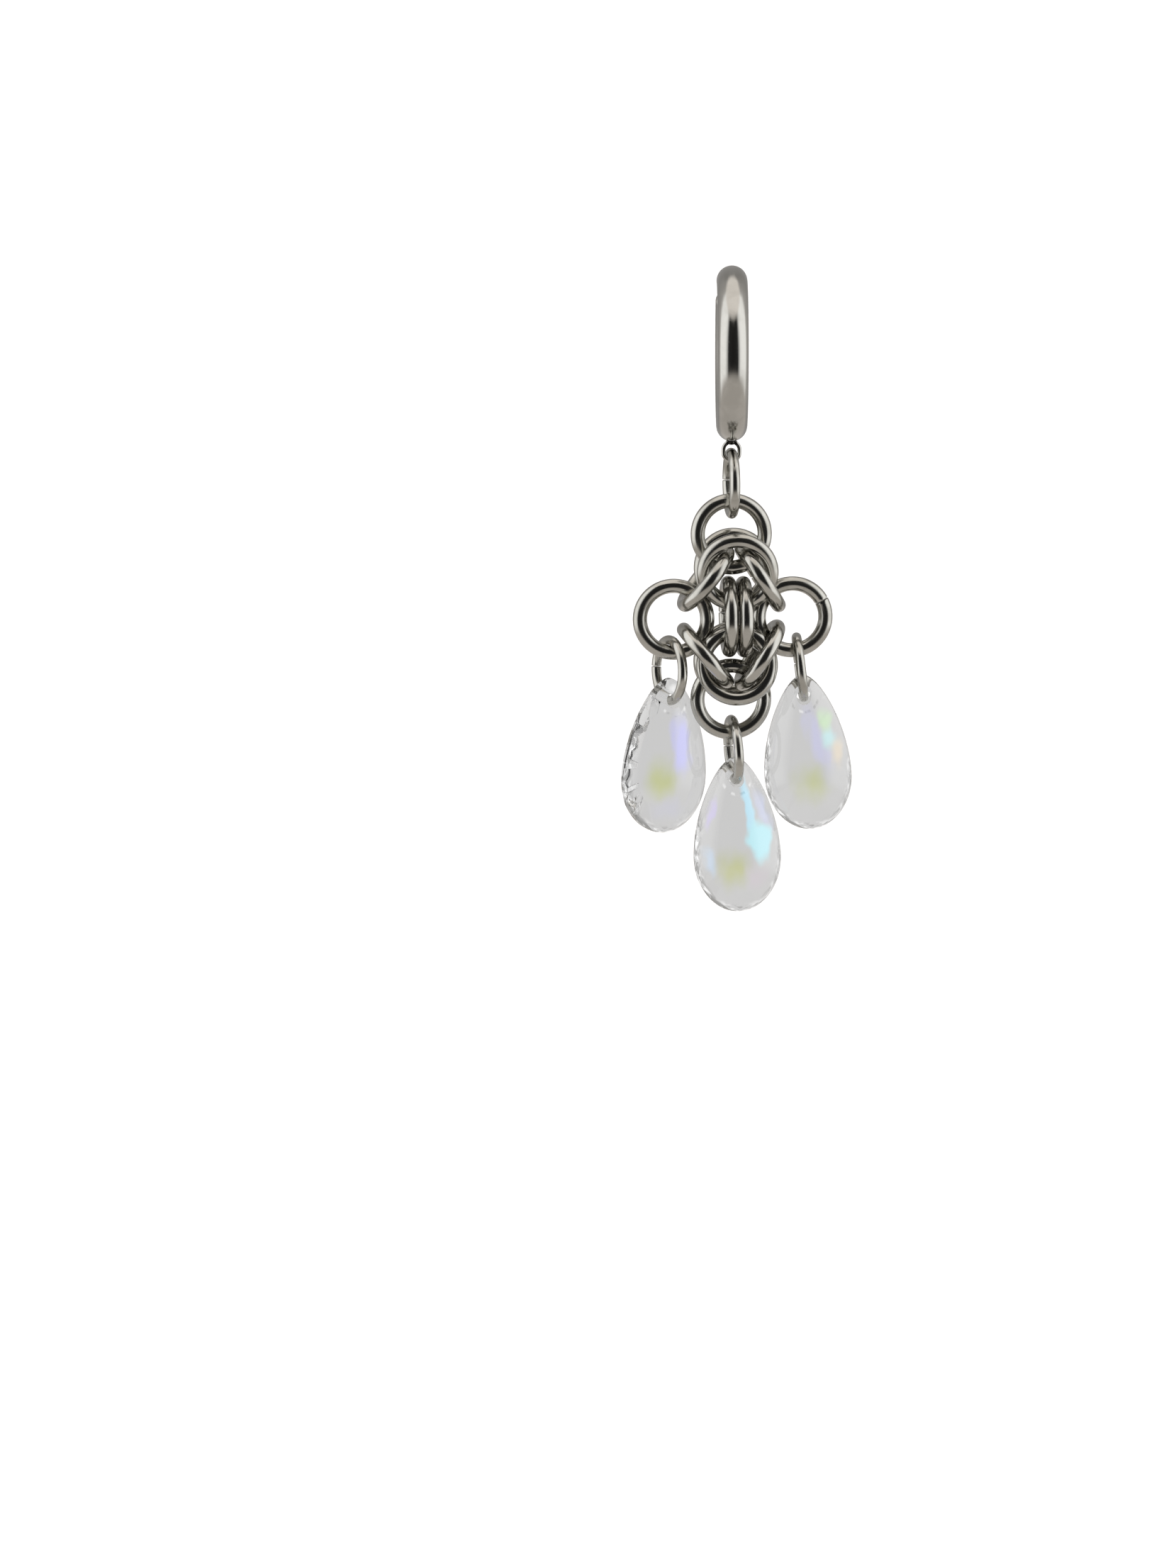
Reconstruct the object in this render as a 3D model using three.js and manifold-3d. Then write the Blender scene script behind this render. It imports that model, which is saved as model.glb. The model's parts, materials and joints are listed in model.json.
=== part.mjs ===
// Chandelier earring: a hinged clip hoop, a cross of woven steel rings and three glass drops.
// Millimetres, +Z up, the wearer's side is +Y. The origin is the middle of the ear post.
import * as THREE from "three";
import { mergeVertices } from "three/addons/utils/BufferGeometryUtils.js";
import Module from "manifold-3d";

const wasm = await Module();
wasm.setup();

// ear hoop
const hoopOuter = 14; // diameter over the tube
const hoopTube = 2.46;
const hoopLip = 4; // degrees that the front half runs past the top
const armTop = 46; // degrees behind the top where the thick part of the arm ends
const hingeAt = 162; // degrees behind the top
const hingeDepth = 0.61; // from the hoop's outer face in to the hinge axis
const barrelRadius = 0.55;
const barrelLength = 2;
const pinRadius = 0.3;
const tongueWidth = 0.68;
const hingeClearance = 0.08;
const postWire = 0.8;
const postReach = 1; // how far the post goes into the front half
const postRoot = 6; // degrees that the post runs on into the thick part of the arm
const socketRadius = 0.62;
const socketRoom = 0.2; // left free past the post's tip

// hanging loop under the hoop, and the ring in it
const loopInner = 0.96; // across
const loopInnerHeight = 1.21;
const loopWire = 0.32;
const loopSink = 0.08; // how far the loop is soldered into the hoop
const topRingInner = 4;
const topRingWire = 0.84;

// woven cross
const ringInner = 4.25;
const ringWire = 1.15;
const ringClearance = 0.05;
const pendantTurn = 6; // degrees that the cross hangs turned about the vertical
const hangClearance = 0.04;

// glass drops and their rings
const dropHeight = 12.5;
const dropWidth = 7;
const dropThickness = 4.4;
const dropGirdle = 0.7; // thickness of the rim
const dropWidest = 8.1; // below the tip
const dropHeart = 0.6; // where the facet rows shrink towards, as a share of the height below the tip
const tipBend = 0.39; // how far the outline's curves reach on, as shares of the sizes they bend over
const shoulderBend = 0.54;
const bellyBend = 0.55;
const dropHoleBelowTip = 1.65;
const dropHoleClearance = 0.1;
const glassAtHole = 0.53; // thickness at the hole's upper edge, as a share of the whole
const dropRingInner = 4.1;
const dropRingWire = 0.77;

// faces on round things
const ringSteps = 16;
const wireSides = 6;
const tubeSides = 12;
const tubeStepDegrees = 9;
const postSides = 8;
const hingeSides = 16;
const dropSides = 16; // facets round a drop, an even number

const steel = { color: 0xa7a59b, roughness: 0.16, metalness: 1 };
const glass = { color: 0xe6e9ea, roughness: 0.04, metalness: 0 };

const hoopRadius = (hoopOuter - hoopTube) / 2;
const hingeRadius = hoopOuter / 2 - hingeDepth;
const loopRadius = (loopInner + loopWire) / 2;
const loopRise = (loopInnerHeight + loopWire) / 2;
const loopMiddle = loopSink - hoopOuter / 2 - loopWire / 2 - loopRise; // below the hoop's middle
const topRingRadius = (topRingInner + topRingWire) / 2;
const ringRadius = (ringInner + ringWire) / 2;
const dropRingRadius = (dropRingInner + dropRingWire) / 2;
const up = new THREE.Vector3(0, 0, 1);
const rad = THREE.MathUtils.degToRad;

function solidOf(geometry) {
  const bare = geometry.clone();
  bare.deleteAttribute("normal");
  bare.deleteAttribute("uv");
  const merged = mergeVertices(bare, 1e-5);
  const vertProperties = new Float32Array(merged.attributes.position.array);
  const triVerts = new Uint32Array(merged.index.array);
  return new wasm.Manifold(new wasm.Mesh({ numProp: 3, vertProperties, triVerts }));
}

function geometryOf(solid) {
  const mesh = solid.getMesh();
  const geometry = new THREE.BufferGeometry();
  geometry.setAttribute("position", new THREE.BufferAttribute(new Float32Array(mesh.vertProperties), 3));
  geometry.setIndex(new THREE.BufferAttribute(new Uint32Array(mesh.triVerts), 1));
  geometry.computeVertexNormals();
  return geometry;
}

function meshOf(name, geometry, look) {
  const mesh = new THREE.Mesh(geometry, new THREE.MeshStandardMaterial(look));
  mesh.name = name;
  return mesh;
}

// A ring of round wire about the origin, standing on the given axis
function wireRing(radius, wire, axis) {
  const turn = new THREE.Quaternion().setFromUnitVectors(up, axis);
  return new THREE.TorusGeometry(radius, wire / 2, wireSides, ringSteps).applyQuaternion(turn);
}

// Pull the two halves of a standing ring apart, up and down, which leaves its wire round
function stretchRing(geometry, by) {
  const position = geometry.attributes.position;
  for (let i = 0; i < position.count; i++) {
    const z = position.getZ(i);
    if (Math.abs(z) > 1e-4) position.setZ(i, z + Math.sign(z) * by);
  }
  return geometry;
}

// The hoop stands in the YZ plane: angles run from its top towards the wearer
function hoopPoint(degrees, radius = hoopRadius) {
  return new THREE.Vector3(0, radius * Math.sin(rad(degrees)), radius * Math.cos(rad(degrees)));
}

class HoopArc extends THREE.Curve {
  constructor(from, to) {
    super();
    this.from = from;
    this.to = to;
  }

  getPoint(t) {
    return hoopPoint(this.from + (this.to - this.from) * t);
  }
}

function hoopTubePiece(from, to, diameter, sides) {
  const section = new THREE.Shape();
  for (let k = 0; k < sides; k++) {
    const a = (2 * Math.PI * (k + 0.5)) / sides;
    const x = (diameter / 2) * Math.cos(a);
    const y = (diameter / 2) * Math.sin(a);
    if (k === 0) section.moveTo(x, y);
    else section.lineTo(x, y);
  }
  const steps = Math.round(Math.abs(to - from) / tubeStepDegrees);
  const extrudePath = new HoopArc(from, to);
  return solidOf(new THREE.ExtrudeGeometry(section, { steps, extrudePath, bevelEnabled: false }));
}

// A place at the hinge: X across, Y along the hoop away from the front half, Z outwards
function atHinge(geometry) {
  const along = new THREE.Vector3(0, -Math.cos(rad(hingeAt)), Math.sin(rad(hingeAt)));
  const outward = hoopPoint(hingeAt, 1);
  const across = new THREE.Vector3().crossVectors(along, outward);
  const frame = new THREE.Matrix4().makeBasis(across, along, outward);
  frame.setPosition(hoopPoint(hingeAt, hingeRadius));
  return solidOf(geometry.applyMatrix4(frame));
}

function hingeCylinder(radius, length) {
  return atHinge(new THREE.CylinderGeometry(radius, radius, length, hingeSides).rotateZ(Math.PI / 2));
}

function hingeBox(width, from, to, low, high) {
  const box = new THREE.BoxGeometry(width, to - from, high - low);
  return atHinge(box.translate(0, (from + to) / 2, (low + high) / 2));
}

const slotWidth = tongueWidth + 2 * hingeClearance;
const tongueRadius = barrelRadius - hingeClearance;
const tongueTop = 0.7 * tongueRadius; // the tongue's flat part stays below the hoop's outer face
const slotDepth = barrelRadius + hingeClearance;
const turningRoom = 1.5 * hingeClearance; // round the barrel, where the arm turns
const armSetBack = hoopTube / 10; // from the barrel to the arm's outer corner, room to open

function makeHoopFront() {
  const tube = hoopTubePiece(hoopLip, hingeAt - 360, hoopTube, tubeSides);
  const loop = wireRing(loopRadius, loopWire, new THREE.Vector3(0, 1, 0));
  stretchRing(loop, loopRise - loopRadius).translate(0, 0, loopMiddle);
  const slot = hingeBox(slotWidth, -slotDepth, 2 * barrelRadius, -hoopTube, hoopTube);
  const socketLength = postReach + hoopTube / 2;
  const socket = new THREE.CylinderGeometry(socketRadius, socketRadius, socketLength, tubeSides);
  const socketEnd = hoopPoint(hoopLip).y - postReach - socketRoom;
  socket.translate(0, socketEnd + socketLength / 2, hoopRadius + hingeClearance);
  return tube
    .add(hingeCylinder(barrelRadius, barrelLength))
    .subtract(slot)
    .subtract(hingeCylinder(pinRadius + hingeClearance / 2, 2 * barrelLength))
    .subtract(solidOf(socket))
    .add(solidOf(loop));
}

function makeHoopArm() {
  const thick = hoopTubePiece(armTop, hingeAt, hoopTube, tubeSides);
  const reachDegrees = THREE.MathUtils.radToDeg(postReach / hoopRadius);
  const post = hoopTubePiece(hoopLip - reachDegrees, armTop + postRoot, postWire, postSides);
  const innerGap = hingeBox(2 * hoopTube, -hoopTube, turningRoom, -2 * hoopTube, hoopTube);
  const outerGap = hingeBox(2 * hoopTube, -hoopTube, barrelRadius + armSetBack, 0, hoopTube);
  const tongue = hingeCylinder(tongueRadius, tongueWidth)
    .add(hingeBox(tongueWidth, 0, 2 * barrelRadius, -tongueRadius, tongueTop));
  return thick
    .subtract(innerGap)
    .subtract(outerGap)
    .subtract(hingeCylinder(barrelRadius + turningRoom, 2 * hoopTube))
    .add(tongue)
    .subtract(hingeCylinder(pinRadius + hingeClearance / 2, 2 * barrelLength))
    .add(post);
}

// Where each ring of the weave starts, in ring radii from the middle of the cross.
// slant turns an upright ring about the depth axis, lean tips a facing ring's top forwards,
// turn is about the vertical.
const weave = [
  { name: "cross_top", across: 0, depth: 0, height: 2.7, facing: true, lean: 0 },
  { name: "cross_bottom", across: 0, depth: 0, height: -2.7, facing: true, lean: 0 },
  { name: "cross_left", across: -1.64, depth: 0.15, height: -0.13, facing: true, lean: 0 },
  { name: "cross_right", across: 1.64, depth: 0, height: -0.08, facing: true, lean: 0 },
  { name: "diagonal_upper_left", across: -0.72, depth: 0, height: 1.2, slant: 51 },
  { name: "diagonal_upper_right", across: 0.84, depth: 0, height: 1.2, slant: 129 },
  { name: "diagonal_lower_left", across: -0.72, depth: 0, height: -1.2, slant: 129 },
  { name: "diagonal_lower_right", across: 0.84, depth: 0, height: -1.2, slant: 51 },
  { name: "knot_upper_front", across: 0.18, depth: -0.5, height: 1.46, facing: true, lean: 8 },
  { name: "knot_upper_back", across: 0.18, depth: 0.5, height: 1.46, facing: true, lean: -8 },
  { name: "knot_lower_front", across: 0.18, depth: -0.5, height: -1.46, facing: true, lean: -8 },
  { name: "knot_lower_back", across: 0.18, depth: 0.5, height: -1.46, facing: true, lean: 8 },
  { name: "centre_left", across: 0.24, depth: 0, height: 0, slant: 90, turn: -5 },
  { name: "centre_right", across: 0.68, depth: 0, height: 0, slant: 90, turn: -5 },
];

function startRing({ name, across, depth, height, facing, lean, slant, turn = 0 }) {
  const at = new THREE.Vector3(across, depth, height).multiplyScalar(ringRadius);
  const axis = facing
    ? new THREE.Vector3(0, -Math.cos(rad(lean)), -Math.sin(rad(lean)))
    : new THREE.Vector3(Math.sin(rad(slant)), 0, -Math.cos(rad(slant)));
  axis.applyAxisAngle(up, rad(turn));
  return { name, at, axis, home: at.clone(), homeAxis: axis.clone() };
}

// Points round a ring's centre line
function ringPoints(ring, count) {
  const side = new THREE.Vector3(1, 0, 0);
  if (Math.abs(ring.axis.x) > 0.9) side.set(0, 0, 1);
  const u = new THREE.Vector3().crossVectors(side, ring.axis).normalize();
  const v = new THREE.Vector3().crossVectors(ring.axis, u);
  return Array.from({ length: count }, (_, k) => {
    const a = (2 * Math.PI * k) / count;
    const cos = ringRadius * Math.cos(a);
    const sin = ringRadius * Math.sin(a);
    return ring.at.clone().addScaledVector(u, cos).addScaledVector(v, sin);
  });
}

// The spot on a ring's centre line nearest to a point, put in out
function nearestOn(ring, point, out) {
  out.subVectors(point, ring.at);
  out.addScaledVector(ring.axis, -out.dot(ring.axis));
  return out.setLength(ringRadius).add(ring.at);
}

const contactsKept = 8;
const samplesRound = 48;
const pushFactor = 1.2;
const settleRounds = 1800;
const thinWire = ringWire / 6;
const fullBy = 0.5; // share of the rounds by which the wires have grown to their thickness
const homePull = 0.02;
const pullEnds = 0.8; // share of the rounds after which nothing pulls
const axisPull = 0.3; // of the pull on a ring's place

// Push two rings apart where their wires are closer than need
function pushApart(a, b, need) {
  if (a.at.distanceTo(b.at) > 2 * ringRadius + need) return;
  const contacts = [];
  for (const p of ringPoints(a, samplesRound)) {
    const q = nearestOn(b, p, new THREE.Vector3());
    const gap = p.distanceTo(q);
    if (gap < need) contacts.push({ p, q, gap });
  }
  contacts.sort((one, other) => one.gap - other.gap);
  const kept = contacts.slice(0, contactsKept);
  const inertia = (ringRadius * ringRadius) / 2;
  for (const { p, q, gap } of kept) {
    const way = p.clone().sub(q).normalize();
    const armA = p.sub(a.at).cross(way);
    const armB = q.sub(b.at).cross(way);
    const weight = 2 + (armA.lengthSq() + armB.lengthSq()) / inertia;
    const push = (pushFactor * (need - gap)) / weight / kept.length;
    a.at.addScaledVector(way, push);
    b.at.addScaledVector(way, -push);
    a.axis.add(armA.multiplyScalar(push / inertia).cross(a.axis)).normalize();
    b.axis.add(armB.multiplyScalar(-push / inertia).cross(b.axis)).normalize();
  }
}

// Let the weave settle: wires grow from thin to full, each ring pushing its neighbours aside,
// while a fading pull keeps every ring near its place
function settle(rings) {
  const full = ringWire + ringClearance;
  for (let round = 0; round < settleRounds; round++) {
    const share = round / settleRounds;
    const need = thinWire + (full - thinWire) * Math.min(1, share / fullBy);
    rings.forEach((a, i) => rings.slice(i + 1).forEach((b) => pushApart(a, b, need)));
    const pull = homePull * Math.max(0, pullEnds - share);
    for (const ring of rings) {
      ring.at.lerp(ring.home, pull);
      ring.axis.lerp(ring.homeAxis, axisPull * pull).normalize();
    }
  }
  return rings;
}

// The highest (way 1) or lowest (way -1) spot of a ring's centre line, or one that is
// some degrees along from it
function ringEnd(ring, radius, way, along = 0) {
  const end = up.clone().addScaledVector(ring.axis, -ring.axis.z).setLength(radius * way);
  return ring.at.clone().add(end.applyAxisAngle(ring.axis, rad(along)));
}

const topRingDrop = (loopWire + topRingWire) / 2 + hangClearance;
const topRingCentre = topRingDrop - topRingRadius;

function makeCross() {
  const rings = settle(weave.map(startRing));
  const top = ringEnd(rings[0], ringRadius, 1);
  const seat = topRingCentre - topRingRadius + (topRingWire + ringWire) / 2 + hangClearance;
  const shift = new THREE.Vector3(-top.x, -top.y, seat - top.z);
  for (const ring of rings) ring.at.add(shift);
  return rings;
}

// Half of a drop's outline, from its tip at the origin to its foot: across, down
function dropOutline() {
  const half = dropWidth / 2;
  const at = (x, y) => new THREE.Vector2(x, y);
  const widest = at(half, -dropWidest);
  const foot = at(0, -dropHeight);
  const shoulder = [at(0, 0), at(tipBend * half, 0), at(half, -shoulderBend * dropWidest), widest];
  const bulge = at(half, -dropWidest - bellyBend * (dropHeight - dropWidest));
  const belly = [widest, bulge, at(bellyBend * half, -dropHeight), foot];
  const outline = new THREE.CurvePath();
  outline.add(new THREE.CubicBezierCurve(...shoulder));
  outline.add(new THREE.CubicBezierCurve(...belly));
  return outline.getSpacedPoints(dropSides / 2);
}

// Rows of facets from the front of a drop to its back: depth as a share of half the thickness,
// size as a share of the outline. The first and last rows bound the flat tables
const rimShare = dropGirdle / dropThickness;
const facetRows = [
  { depth: -1, size: 0.46 },
  { depth: -0.72, size: 0.78 },
  { depth: -rimShare, size: 1 },
  { depth: rimShare, size: 1 },
  { depth: 0.72, size: 0.78 },
  { depth: 1, size: 0.46 },
];

function makeDrop() {
  const half = dropOutline();
  const mirrored = half.slice(1, -1).reverse().map(({ x, y }) => new THREE.Vector2(-x, y));
  const outline = [...half, ...mirrored];
  const heart = -dropHeart * dropHeight;
  const points = [];
  for (const { depth, size } of facetRows) {
    const y = (depth * dropThickness) / 2;
    for (const p of outline) points.push(p.x * size, y, heart + (p.y - heart) * size);
  }
  const n = outline.length;
  const faces = [];
  for (let row = 0; row < facetRows.length - 1; row++) {
    for (let k = 0; k < n; k++) {
      const a = row * n + k;
      const b = row * n + ((k + 1) % n);
      faces.push(a, b, b + n, a, b + n, a + n);
    }
  }
  const last = points.length / 3 - n;
  for (let k = 1; k < n - 1; k++) faces.push(0, k + 1, k, last, last + k, last + k + 1);
  const geometry = new THREE.BufferGeometry();
  geometry.setAttribute("position", new THREE.Float32BufferAttribute(points, 3));
  geometry.setIndex(faces);
  return solidOf(geometry);
}

// How far a drop ring's curve rises inside the hole, and the hole that gives it room
const halfGlass = (glassAtHole * dropThickness) / 2;
const ringRise = dropRingRadius - Math.sqrt(dropRingRadius ** 2 - halfGlass ** 2);
const dropHoleRadius = (dropRingWire + ringRise) / 2 + dropHoleClearance;

// How each drop hangs, in degrees: along its holder from the lowest spot, the turn and lean
// of its ring, and the face and tilt of the glass
const drops = [
  { side: "left", from: "cross_left", along: -5, turn: 19, lean: 2, face: 14, tilt: 3.6 },
  { side: "centre", from: "cross_bottom", along: 2, turn: 3, lean: -3.5, face: -1, tilt: -1.6 },
  { side: "right", from: "cross_right", along: 8, turn: -5, lean: -6.9, face: -5, tilt: -3.6 },
];

function makeDropPair(weaveRings, glassDrop, { side, from, along, turn, lean, face, tilt }) {
  const holder = weaveRings.find((ring) => ring.name === from);
  const hang = ringEnd(holder, ringRadius, -1, along);
  hang.z += (ringWire + dropRingWire) / 2 + hangClearance;
  const swing = new THREE.Group();
  swing.position.copy(hang);
  swing.rotation.y = rad(lean);
  const round = wireRing(dropRingRadius, dropRingWire, new THREE.Vector3(1, 0, 0));
  const ring = meshOf("drop_ring_" + side, round, steel);
  ring.position.z = -dropRingRadius;
  ring.rotation.z = rad(turn);
  const hole = new THREE.Group();
  hole.position.z = ringRise / 2 - 2 * dropRingRadius;
  hole.rotation.y = rad(tilt - lean);
  const drop = meshOf("drop_" + side, glassDrop, glass);
  drop.position.z = dropHoleBelowTip;
  drop.rotation.z = rad(face);
  hole.add(drop);
  swing.add(ring, hole);
  return swing;
}

const hoop = new THREE.Group();
hoop.position.copy(hoopPoint((hoopLip + armTop) / 2).negate());
hoop.add(meshOf("hoop_front", geometryOf(makeHoopFront()), steel));
hoop.add(meshOf("hoop_arm", geometryOf(makeHoopArm()), steel));
hoop.add(meshOf("hinge_pin", geometryOf(hingeCylinder(pinRadius, barrelLength)), steel));

const pendant = new THREE.Group();
pendant.position.z = loopMiddle - loopRise;
pendant.rotation.z = rad(pendantTurn);
hoop.add(pendant);

const topRound = wireRing(topRingRadius, topRingWire, new THREE.Vector3(1, 0, 0));
const topRing = meshOf("jump_ring_top", topRound, steel);
topRing.position.z = topRingCentre;
pendant.add(topRing);

const cross = makeCross();
for (const ring of cross) {
  const link = meshOf(ring.name, wireRing(ringRadius, ringWire, ring.axis.clone().normalize()), steel);
  link.position.copy(ring.at);
  pendant.add(link);
}

const drill = new THREE.CylinderGeometry(dropHoleRadius, dropHoleRadius, 2 * dropThickness, tubeSides);
drill.translate(0, 0, -dropHoleBelowTip);
const glassDrop = geometryOf(makeDrop().subtract(solidOf(drill)));
for (const drop of drops) pendant.add(makeDropPair(cross, glassDrop, drop));

const group = new THREE.Group();
group.add(hoop);
export default group;
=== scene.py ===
import bmesh
import bpy
import json
import math
from mathutils import Matrix, Vector
from mathutils.geometry import interpolate_bezier

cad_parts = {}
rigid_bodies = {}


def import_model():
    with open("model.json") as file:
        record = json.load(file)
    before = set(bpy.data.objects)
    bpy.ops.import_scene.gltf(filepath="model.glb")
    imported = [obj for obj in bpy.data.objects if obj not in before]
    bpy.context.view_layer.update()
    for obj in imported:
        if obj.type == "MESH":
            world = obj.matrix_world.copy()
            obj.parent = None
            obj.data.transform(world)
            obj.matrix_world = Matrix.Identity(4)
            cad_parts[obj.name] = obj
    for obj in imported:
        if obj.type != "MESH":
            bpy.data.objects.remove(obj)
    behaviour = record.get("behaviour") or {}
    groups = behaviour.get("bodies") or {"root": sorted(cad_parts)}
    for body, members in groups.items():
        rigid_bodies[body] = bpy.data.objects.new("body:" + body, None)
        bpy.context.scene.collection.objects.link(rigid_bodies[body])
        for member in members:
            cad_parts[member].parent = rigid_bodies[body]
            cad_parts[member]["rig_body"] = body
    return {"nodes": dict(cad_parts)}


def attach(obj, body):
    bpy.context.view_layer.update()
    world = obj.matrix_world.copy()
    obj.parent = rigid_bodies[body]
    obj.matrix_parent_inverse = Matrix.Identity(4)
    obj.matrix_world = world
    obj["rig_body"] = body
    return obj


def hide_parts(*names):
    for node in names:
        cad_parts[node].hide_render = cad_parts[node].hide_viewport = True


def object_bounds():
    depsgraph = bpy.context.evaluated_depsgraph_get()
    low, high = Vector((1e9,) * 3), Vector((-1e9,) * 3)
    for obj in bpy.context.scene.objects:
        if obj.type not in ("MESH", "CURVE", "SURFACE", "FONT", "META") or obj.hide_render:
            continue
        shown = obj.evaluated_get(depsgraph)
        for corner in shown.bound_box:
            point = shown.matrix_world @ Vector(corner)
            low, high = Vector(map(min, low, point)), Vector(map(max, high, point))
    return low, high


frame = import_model()
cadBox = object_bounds()
scene = bpy.context.scene
mm = 0.001

# The hoop's place and angles, as the solids have them: degrees run from its top towards the wearer
hoop = {
    "outer": 14 * mm,
    "tube": 2.46 * mm,
    "lip": 4,  # where the front half ends, past the top
    "armTop": 46,  # where the thick part of the arm starts
    "hingeAt": 162,
    "stepDegrees": 1.5,
    "sides": 64,
    "frontEdge": 0.12 * mm,
    "armEdge": 0.3 * mm,
}
hoopRadius = (hoop["outer"] - hoop["tube"]) / 2


def hoopPoint(degrees, radius=hoopRadius):
    turn = math.radians(degrees)
    return Vector((0, radius * math.sin(turn), radius * math.cos(turn)))


hoopCentre = -hoopPoint((hoop["lip"] + hoop["armTop"]) / 2)

photo = {  # the photograph, in its own pixels
    "width": 1659,
    "height": 2212,
    "hoopAcross": 1032.3,  # middle of the hoop
    "hoopDown": 498.5,
    "pixelsPerMm": 17.7,
}
camera = {"elevation": 9, "distance": 600 * mm, "sensor": 36, "clipStart": 10 * mm}


def makeCamera():
    tilt = math.radians(camera["elevation"])
    pixel = mm / photo["pixelsPerMm"]
    imageUp = Vector((0, math.sin(tilt), math.cos(tilt)))
    back = Vector((0, -math.cos(tilt), math.sin(tilt)))
    right = Vector((1, 0, 0))
    middle = hoopCentre - right * (photo["hoopAcross"] - photo["width"] / 2) * pixel
    middle -= imageUp * (photo["height"] / 2 - photo["hoopDown"]) * pixel
    data = bpy.data.cameras.new("camera")
    data.sensor_width = camera["sensor"]
    data.lens = camera["sensor"] * camera["distance"] / (photo["height"] * pixel)
    data.clip_start = camera["clipStart"]
    made = bpy.data.objects.new("camera", data)
    made.location = middle + back * camera["distance"]
    made.rotation_mode = "QUATERNION"
    made.rotation_quaternion = back.to_track_quat("Z", "Y")
    scene.collection.objects.link(made)
    scene.camera = made


def addNode(tree, kind, **settings):
    node = tree.nodes.new("ShaderNode" + kind)
    for name, value in settings.items():
        setattr(node, name, value)
    return node


def feed(tree, socket, value):
    if isinstance(value, bpy.types.NodeSocket):
        tree.links.new(value, socket)
    else:
        socket.default_value = value


def calc(tree, operation, *values):
    node = addNode(tree, "Math", operation=operation)
    for socket, value in zip(node.inputs, values):
        feed(tree, socket, value)
    return node.outputs[0]


def between(tree, value, low, high, toLow=0.0, toHigh=1.0):
    node = addNode(tree, "MapRange", interpolation_type="SMOOTHSTEP")
    for socket, given in zip(node.inputs, (value, low, high, toLow, toHigh)):
        feed(tree, socket, given)
    return node.outputs[0]


def mixColour(tree, share, first, second, blend="MIX"):
    node = addNode(tree, "Mix", data_type="RGBA", blend_type=blend)
    feed(tree, node.inputs[0], share)
    feed(tree, node.inputs[6], first)
    feed(tree, node.inputs[7], second)
    return node.outputs[2]


def ramp(tree, value, stops):
    node = addNode(tree, "ValToRGB")
    made = node.color_ramp.elements
    made[0].position, made[1].position = stops[0][0], stops[-1][0]
    for position, _ in stops[1:-1]:
        made.new(position)
    for stop, (_, colour) in zip(made, stops):
        stop.color = colour
    feed(tree, node.inputs[0], value)
    return node.outputs[0]


def grey(level, warm=0.0):
    return (level * (1 + warm), level, level * (1 - warm), 1)


tent = {  # a light tent with a dark opening towards the camera
    "walls": (  # degrees round from the camera, grey, warmth
        (0, 0.014, 0),
        (35, 0.018, 0),
        (56, 0.9, 0),
        (70.4, 1, 0),
        (106, 0.96, 0),
        (119, 0.38, 0.03),
        (153, 0.22, 0.03),
        (180, 0.24, 0.02),
    ),
    "ceiling": (0.74, 0.05),
    "ceilingBack": (0.5, 0.02),
    "backFrom": (0.5, 0.75),  # how far a way points to the back
    "ground": (0.4, 0.06),
    "strength": 1.48,
    "ceilingFrom": 46,  # degrees up
    "ceilingSoft": 13,
    "groundFrom": -14,
    "groundSoft": 16,
    "pale": 0.93,  # what the camera sees behind the earring
    "throughGlass": 0.7,
    "glassShare": 0.85,
}


def makeWorld():
    world = bpy.data.worlds.new("lightTent")
    world.use_nodes = True
    scene.world = world
    tree = world.node_tree
    tree.nodes.clear()
    way = addNode(tree, "SeparateXYZ")
    tree.links.new(addNode(tree, "TexCoord").outputs["Generated"], way.inputs[0])
    across, depth, rise = way.outputs
    front = calc(tree, "MULTIPLY", depth, -1.0)
    turned = calc(tree, "ARCTAN2", calc(tree, "ABSOLUTE", across), front)
    halfTurn = calc(tree, "DIVIDE", turned, math.pi)
    up = calc(tree, "ARCSINE", rise)
    stops = [(degrees / 180, grey(level, warm)) for degrees, level, warm in tent["walls"]]
    walls = ramp(tree, halfTurn, stops)
    toBack = between(tree, depth, *tent["backFrom"])
    ceiling = mixColour(tree, toBack, grey(*tent["ceiling"]), grey(*tent["ceilingBack"]))
    ceilingStart = math.radians(tent["ceilingFrom"])
    ceilingEnd = ceilingStart + math.radians(tent["ceilingSoft"])
    aloft = between(tree, up, ceilingStart, ceilingEnd)
    groundStart = math.radians(tent["groundFrom"])
    groundEnd = groundStart - math.radians(tent["groundSoft"])
    below = between(tree, up, groundEnd, groundStart, 1.0, 0.0)
    studio = mixColour(tree, aloft, walls, ceiling)
    studio = mixColour(tree, below, studio, grey(*tent["ground"]))
    lit = mixColour(tree, 1.0, studio, grey(tent["strength"]), "MULTIPLY")
    ray = addNode(tree, "LightPath").outputs
    through = calc(tree, "MULTIPLY", ray["Is Transmission Ray"], tent["glassShare"])
    lit = mixColour(tree, through, lit, grey(tent["throughGlass"]))
    seen = mixColour(tree, ray["Is Camera Ray"], lit, grey(tent["pale"]))
    background = addNode(tree, "Background")
    feed(tree, background.inputs["Color"], seen)
    out = addNode(tree, "OutputWorld")
    tree.links.new(background.outputs[0], out.inputs[0])
    scene.view_settings.view_transform = "Standard"


floor = {"below": 60 * mm, "half": 6, "albedo": 0.9, "roughness": 0.9}


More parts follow.
